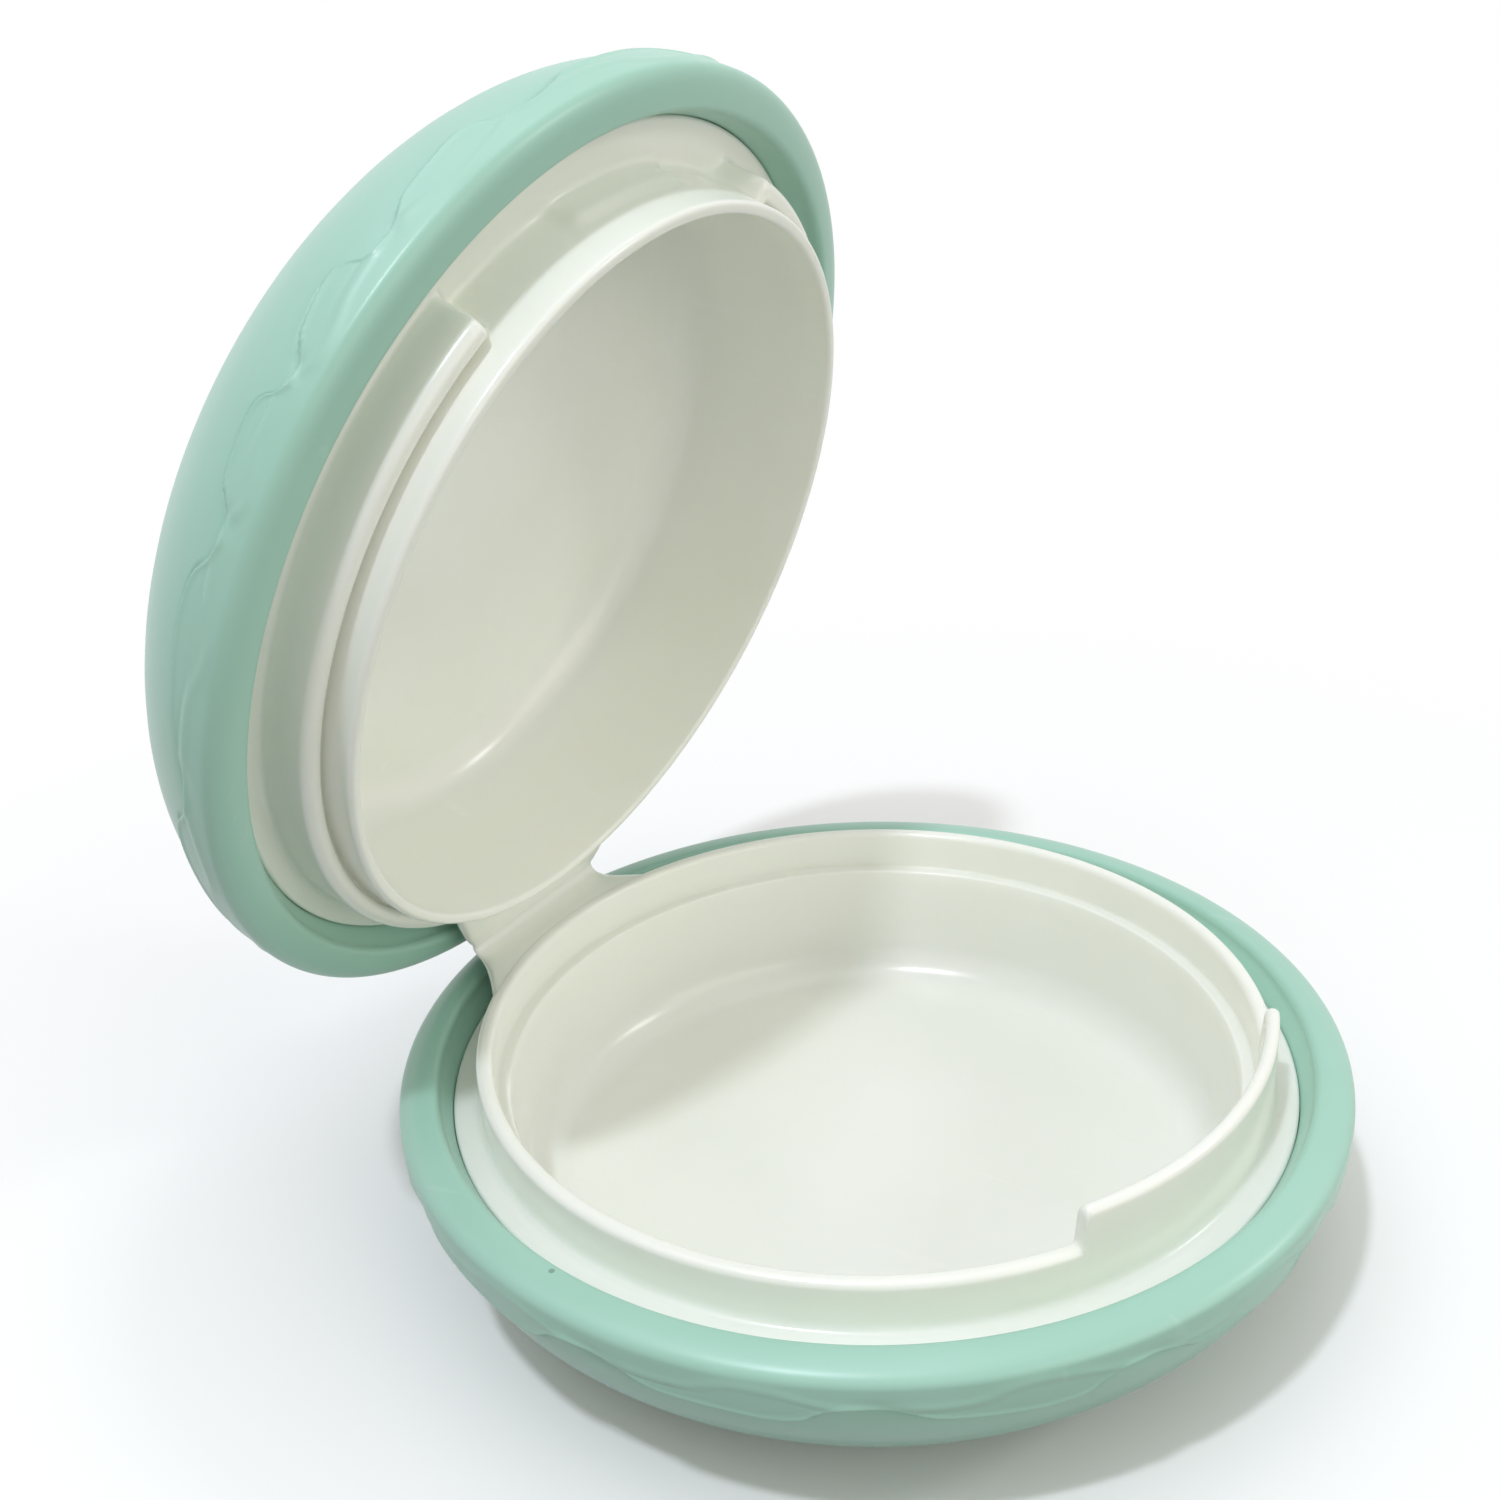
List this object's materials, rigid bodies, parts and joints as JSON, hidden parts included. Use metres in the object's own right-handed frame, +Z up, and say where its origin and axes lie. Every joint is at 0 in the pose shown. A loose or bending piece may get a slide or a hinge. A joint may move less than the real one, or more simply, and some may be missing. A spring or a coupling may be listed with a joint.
{
  "type": "flip-open palette case",
  "caption": "Round domed flip-open case with a dished white tray, a dished lid liner and a folding strap hinge, used as a pocket wet palette.",
  "frame": {"origin": "centre of the flat foot under the lower shell, on the surface it stands on", "axes": "+Z up; the strap hinge is at +Y and the thumb tab faces -Y; the hinge axis runs along X"},
  "size_m": [0.056, 0.0636, 0.0661],
  "materials": {
    "mint_shell": "satin gloss, pale green",
    "white_moulding": "satin, milky white"
  },
  "bodies": {
    "base": {"bottom_shell": "mint_shell", "tray": "white_moulding", "hinge_leaf_tray": "white_moulding", "hinge_film": "white_moulding"},
    "lid": {"hinge_leaf_lid": "white_moulding", "lid_liner": "white_moulding", "lid_shell": "mint_shell"}
  },
  "joints": [
    {"name": "lid_hinge", "type": "hinge", "parent": "base", "child": "lid", "pos_m": [0, 0.0257, 0.01395], "axis": [-1, 0, 0], "range_deg": [-72, 14]}
  ]
}
